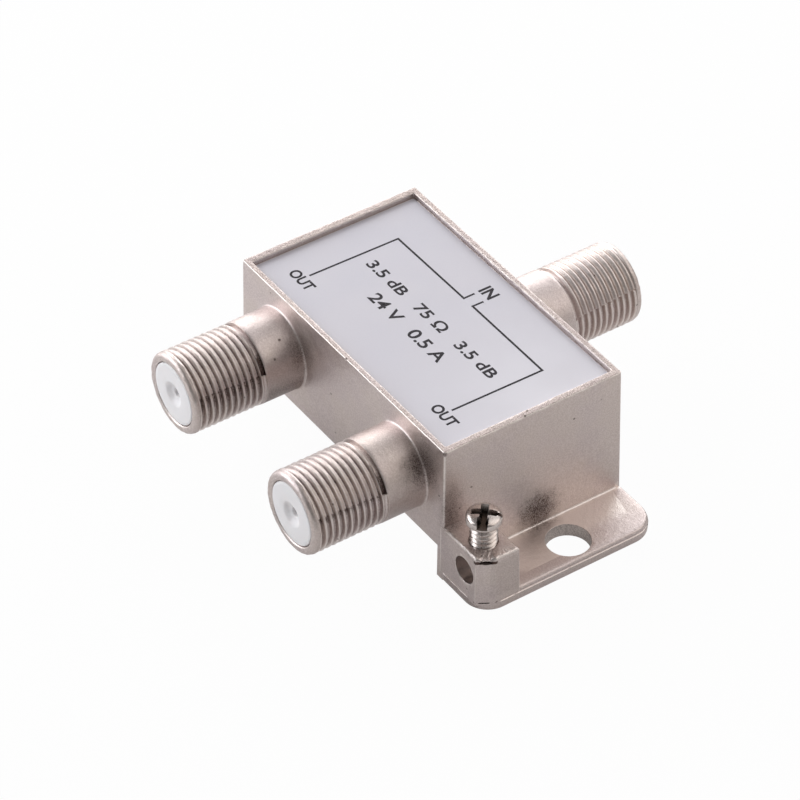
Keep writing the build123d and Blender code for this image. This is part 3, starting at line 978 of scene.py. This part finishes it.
# The screw's recess is painted nearly black as shade
screw_recess_shade = (0.07, 0.055, 0.045)
bright_screw = plain("bright_screw", (0.64, 0.57, 0.54), (0.76, 0.69, 0.66), 0.27, 1.0, 1.2, 0.01, screw_recess_shade)
tinned = plain("tinned_sheet", (0.60, 0.60, 0.61), (0.70, 0.70, 0.71), 0.34, 1.0, 0.8, 0.01)
bronze = plain("spring_bronze", (0.55, 0.36, 0.16), (0.66, 0.46, 0.22), 0.3, 1.0)
laminate = plain("board_laminate", (0.02, 0.12, 0.05), (0.03, 0.17, 0.07), 0.45)
solder = plain("solder", (0.62, 0.62, 0.64), (0.74, 0.74, 0.76), 0.24, 1.0)
ferrite = plain("ferrite", (0.02, 0.019, 0.019), (0.045, 0.042, 0.04), 0.6, 0.0, 3.0, 0.02)
enamel = plain("enamelled_wire", (0.42, 0.12, 0.03), (0.55, 0.19, 0.05), 0.25, 0.6)
resistor_coat = plain("resistor_coat", (0.14, 0.28, 0.42), (0.2, 0.36, 0.5), 0.35)
capacitor_coat = plain("capacitor_coat", (0.55, 0.26, 0.05), (0.68, 0.36, 0.09), 0.35)


# Pieces
def paint(obj, material):
    """One material all over a piece."""
    obj.data.materials.clear()
    obj.data.materials.append(material)


def make_casting():
    """The casting, with the edge wear and painted highlight and the painted shade of each point."""
    whole = casting()
    mesh = whole.data
    clean(mesh, 0.0005)
    points = read(mesh.vertices, "co", 3)
    painted_shade = casting_painted_shade(points)
    wear_and_highlight = bright_edges(points, curvature(mesh))
    finish_mesh(whole)
    add_attribute(mesh, "painted_shade", painted_shade)
    add_attribute(mesh, "wear_and_highlight", wear_and_highlight)
    paint(whole, nickel)
    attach(whole, "splitter")
    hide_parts("housing")


def make_insulator(name):
    """A white plug with a soft dimple and a hole in its face."""
    head = mouth_r - 0.1
    stem = bore_r - 0.02
    face = tip_y - 0.05
    shoulder = tip_y - mouth_depth
    stem_end = inner_y + 2.2
    hole = 0.55
    inner_r = 1.55
    hollow_end = face - 1.3
    profile = [(hole, hollow_end), (hole, face - 0.6)]
    for i in range(10):
        t = i / 9
        profile.append((hole + 0.08 + t, face - 0.5 * (1 - smooth_step(0, 1, t))))
    profile += [(2.4, face), (3.2, face - 0.01), (head - 0.12, face - 0.02), (head - 0.03, face - 0.06),
                (head, face - 0.15), (head, shoulder), (stem, shoulder), (stem, stem_end),
                (inner_r, stem_end), (inner_r, hollow_end)]
    obj = lathe(f"{name}_plug", profile, port_matrix(name))
    finish_mesh(obj, 50)
    paint(obj, plastic)
    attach(obj, "splitter")
    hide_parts(f"{name}_insulator")


# Screw. Its heights are the part's, and its axis is the Z axis until it is put in its hole.
screw_tip = 6.0
screw_seat = 10.0
screw_crown = 11.4
screw_pitch = 0.6
screw_thread_r = 1.5
screw_steps = 96
slot_depth = 0.95
notch_depth = 0.62


def turned_rings(profile):
    """A ring round the screw's axis for each (radius, height)."""
    return [[(r * cos(a), r * sin(a), z) for a in full_turn(screw_steps)] for r, z in profile]


def screw_thread():
    """Rings that follow the screw's rolled thread. They are cut off at its two ends."""
    start = screw_tip + 0.28
    end = screw_seat - 0.35
    runout = 0.22
    # Over one turn: how far along it, and how deep
    section = [(0.0, 0.0), (0.12, 0.0), (0.3, 0.35), (0.48, 0.95), (0.6, 1.0), (0.72, 0.9), (0.88, 0.4)]
    rings = []
    turns = int((end - start) / screw_pitch) + 3
    for n in range(-1, turns):
        for share, fall in section:
            ring = []
            for a in full_turn(screw_steps):
                z = start + screw_pitch * (n + share + a / (2 * pi))
                z = min(max(z, start), end)
                depth = 0.3 * fall * (1 - smooth_step(end - 0.35, end, z))
                r = screw_thread_r - depth - runout * (1 - smooth_step(start, start + 0.5, z))
                r -= runout * smooth_step(end - 0.3, end, z)
                if z <= start + 1e-6:
                    r = 1.24
                if z >= end - 1e-6:
                    r = 1.22
                ring.append((r * cos(a), r * sin(a), z))
            rings.append(ring)
    return rings


def cut_recess(body):
    """Two crossing arms that narrow downwards, one wide slot out through the rim, and a small
    notch where the next arm breaks out."""
    high = screw_crown + 0.3
    # Turn in degrees, near and far end, width, depth, width at the floor, how much shorter there
    arms = (
        (0, -1.5, 1.5, 1.0, 1.05, 0.45, 0.4),
        (90, -1.5, 1.5, 1.0, 1.05, 0.45, 0.4),
        (0, 0.8, 2.4, 1.3, slot_depth, 1.05, 0.0),
        (90, 1.2, 2.4, 0.55, notch_depth, 0.4, 0.0),
    )
    for turn_by, near, far, width, depth, low_width, short in arms:
        rings = []
        for a, b, half, z in (
            (near + short, far - short, low_width / 2, screw_crown - depth), (near, far, width / 2, high),
        ):
            rings.append([(a, -half, z), (b, -half, z), (b, half, z), (a, half, z)])
        blade = loft("blade", rings)
        blade.data.transform(Matrix.Rotation(radians(turn_by), 4, "Z"))
        combine(body, blade, "DIFFERENCE")


def recess_painted_shade(mesh):
    """Painted shade: 1 in the recess and nearly 1 where the slot leaves the rim, 0 elsewhere."""
    inside_r = 1.65
    painted_shade = []
    for vertex in mesh.vertices:
        px, py, pz = vertex.co
        r = hypot(px, py)
        below = screw_crown - pz
        in_recess = r < inside_r and screw_seat + 0.1 < pz and below > 0.2
        on_floor = min(abs(below - slot_depth), abs(below - notch_depth)) < 0.02
        at_rim = on_floor and r > inside_r and px > 0 and abs(py) < 0.8
        painted_shade.append(1.0 if in_recess else 0.9 if at_rim else 0.0)
    return painted_shade


def make_screw():
    """The clamp screw: rolled thread, neck and a domed head with a cross and a slot."""
    end = [(0.5, 0.0), (1.0, 0.0), (1.14, 0.03), (1.22, 0.12)]
    neck_and_head = [
        (1.2, -0.12), (1.26, -0.04), (1.4, 0.0), (1.7, 0.03), (1.86, 0.1), (1.93, 0.22),
        (1.95, 0.4), (1.95, 0.75), (1.93, 0.88), (1.86, 1.0), (1.72, 1.12), (1.5, 1.22),
        (1.2, 1.31), (0.8, 1.37), (0.4, 1.4),
    ]
    rings = turned_rings([(r, screw_tip + z) for r, z in end])
    rings += screw_thread()
    rings += turned_rings([(r, screw_seat + z) for r, z in neck_and_head])
    body = loft("screw_body", rings)
    cut_recess(body)
    body.name = "clamp_screw"
    painted_shade = recess_painted_shade(body.data)
    body.data.transform(Matrix.Rotation(radians(-42), 4, "Z"))
    body.data.transform(Matrix.Translation((ground_x, ground_y, 0)))
    finish_mesh(body, 40)
    add_attribute(body.data, "painted_shade", painted_shade)
    paint(body, bright_screw)
    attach(body, "screw")
    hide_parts("ground_screw")


def ride_ink(obj):
    """Print belongs to the label."""
    paint(obj, ink)
    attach(obj, "splitter")


def printed_words(name, words, x_low, x_high, y_low, y_high, weight):
    """Words printed on the label, fitted between the given edges. weight thickens the letters."""
    curve = bpy.data.curves.new(name, "FONT")
    curve.body = words
    curve.size = 1.0
    curve.offset = weight
    curve.resolution_u = 6
    curve.extrude = 0.5
    temporary = add_object(name, curve)
    graph = bpy.context.evaluated_depsgraph_get()
    mesh = bpy.data.meshes.new_from_object(temporary.evaluated_get(graph))
    bpy.data.objects.remove(temporary)
    points = read(mesh.vertices, "co", 3)
    low, high = points.min(axis=0), points.max(axis=0)
    room = ((x_low, x_high - x_low), (y_low, y_high - y_low), (ink_low, ink_thick))
    for axis, (start, reach) in enumerate(room):
        points[:, axis] = start + (points[:, axis] - low[axis]) / (high[axis] - low[axis]) * reach
    mesh.vertices.foreach_set("co", points.ravel())
    clean(mesh, 0.0005)
    mesh.transform(Matrix.Scale(MM, 4))
    ride_ink(add_object(name, mesh))


def printed_line(name, points):
    """A line of even width through points, with mitred corners."""
    left, right = [], []
    for i, p in enumerate(points):
        before = Vector(p) - Vector(points[i - 1]) if i > 0 else None
        after = Vector(points[i + 1]) - Vector(p) if i < len(points) - 1 else None
        a = (before or after).normalized()
        b = (after or before).normalized()
        along = (a + b).normalized()
        across = Vector((-along.y, along.x))
        reach = line_width / 2 / max(across.dot(Vector((-a.y, a.x))), 0.3)
        left.append((p[0] + across.x * reach, p[1] + across.y * reach))
        right.append((p[0] - across.x * reach, p[1] - across.y * reach))
    outline = right + left[::-1]
    rings = [[(x, y, z) for x, y in outline] for z in (ink_low, ink_low + ink_thick)]
    obj = loft(name, rings)
    obj.data.transform(Matrix.Scale(MM, 4))
    ride_ink(obj)


make_casting()
for port in ports:
    make_insulator(port)
make_screw()
printed_line("line_left", [(-13.43, -6.46), (-13.27, 5.07), (-0.79, 5.1), (-0.8, 6.5)])
printed_line("line_right", [(0.86, 6.5), (0.83, 5.1), (13.64, 5.05), (13.5, -6.49)])
printed_words("words_left", "OUT", -15.15, -11.4, -8.22, -6.82, port_word_weight)
printed_words("words_right", "OUT", 11.85, 15.6, -8.25, -6.85, port_word_weight)
printed_words("words_in", "IN", -0.98, 0.95, 7.05, 8.68, port_word_weight)
printed_words("ratings_first", "3.5 dB   75 Ω   3.5 dB", -11.65, 11.6, -0.42, 1.12, rating_weight)
printed_words("ratings_second", "24 V   0.5 A", -6.85, 6.4, -3.45, -1.85, rating_weight)

carried_over = {
    "label": label_film, "back_cover": tinned, "circuit_board": laminate, "solder_joints": solder,
    "matching_core": ferrite, "splitting_core": ferrite, "matching_winding": enamel,
    "splitting_winding": enamel, "isolation_resistor": resistor_coat,
}
for port in ports:
    carried_over[f"{port}_rear_insulator"] = plastic
    carried_over[f"{port}_contact"] = bronze
    carried_over[f"{port}_capacitor"] = capacitor_coat
for node, material in carried_over.items():
    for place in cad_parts[node].material_slots:
        place.material = material


# Stage, light and camera
def whiten(n, white, output, to_camera, to_metal):
    """Mixes white into a background, by what looks at it: the camera, or metal and glass."""
    path = n.tree.nodes.new("ShaderNodeLightPath")
    camera = n.math("MULTIPLY", path.outputs["Is Camera Ray"], to_camera)
    metal = n.math("MULTIPLY", path.outputs["Is Glossy Ray"], to_metal)
    glass = n.math("MULTIPLY", path.outputs["Is Transmission Ray"], to_metal)
    share = n.math("MAXIMUM", n.math("MAXIMUM", camera, metal), glass)
    mixed = n.add("MixShader", {0: share, 1: n.shader.outputs[0], 2: white}, "Shader")
    n.put(mixed, n.tree.nodes[output].inputs["Surface"])


def make_floor():
    """A white floor that shows white to the camera and keeps the soft shadow."""
    mesh = bpy.data.meshes.new("floor")
    size = 3.0
    corners = [(-size, -size, 0), (size, -size, 0), (size, size, 0), (-size, size, 0)]
    mesh.from_pydata(corners, [], [(0, 1, 2, 3)])
    floor = add_object("floor", mesh)
    n = Nodes(bpy.data.materials.new("floor_white"))
    n.set(Base_Color=(0.86, 0.86, 0.86), Roughness=0.9, Specular_IOR_Level=0.0)
    glow = n.add("Emission", {"Color": (1, 1, 1)}, "Emission")
    whiten(n, glow, "Material Output", 0.965, 0.2)
    mesh.materials.append(n.owner)


def make_world():
    """A dim room round the lamps, with a white background."""
    world = bpy.data.worlds.new("room")
    bpy.context.scene.world = world
    n = Nodes(world, "Background")
    n.set(Color=(1.0, 0.99, 0.985), Strength=0.1)
    shown = n.add("Background", {"Color": (1, 1, 1), "Strength": 1.0}, "Background")
    whiten(n, shown, "World Output", 1.0, 0.1)


def make_lights():
    """Large soft panels round the table, the strongest low on the left. Angles are in degrees,
    from +X towards +Y and above the floor, powers in watts and distances in metres."""
    away = 0.5
    panel_side = 0.5
    aim = Vector((0, 0, 0.01))
    plain_white = (1, 1, 1)
    cool = (0.94, 0.97, 1.0)
    warm = (1.0, 0.94, 0.88)
    for name, azimuth, elevation, power, colour in (
        ("front_left", 225, 20, 2.2, cool), ("left", 180, 20, 1.15, plain_white),
        ("back_left", 135, 20, 1.65, plain_white), ("back_high", 90, 52, 0.3, plain_white),
        ("right_high", 45, 52, 0.5, warm), ("right", 45, 20, 0.32, warm),
    ):
        a, e = radians(azimuth), radians(elevation)
        data = bpy.data.lights.new(name, "AREA")
        data.shape = "RECTANGLE"
        data.size = panel_side
        data.size_y = panel_side
        data.energy = power
        data.color = colour
        lamp = add_object(name, data)
        lamp.location = (away * cos(a) * cos(e), away * sin(a) * cos(e), away * sin(e))
        lamp.rotation_euler = (aim - lamp.location).to_track_quat("-Z", "Y").to_euler()


def make_camera():
    """The photograph's view, from the fit of the model's corners to it."""
    azimuth = radians(55.671)
    elevation = radians(40.948)
    roll = radians(-0.128)
    distance = 432.4
    shift_right = -3.113
    shift_up = -9.09
    back = Vector((sin(azimuth) * cos(elevation), -cos(azimuth) * cos(elevation), sin(elevation)))
    right = Vector((cos(azimuth), sin(azimuth), 0))
    up = back.cross(right)
    rolled_right = cos(roll) * right + sin(roll) * up
    rolled_up = -sin(roll) * right + cos(roll) * up
    eye = distance * back + shift_right * rolled_right + shift_up * rolled_up + Vector((0, 0, overall_height))
    data = bpy.data.cameras.new("camera")
    data.sensor_width = 36
    data.lens = 182.156
    data.clip_start = 0.01
    camera = add_object("camera", data)
    turn = Matrix((rolled_right, rolled_up, back)).transposed().to_4x4()
    camera.matrix_world = Matrix.Translation(eye * MM) @ turn
    bpy.context.scene.camera = camera


make_floor()
make_world()
make_lights()
make_camera()
bpy.context.scene.view_settings.view_transform = "Standard"
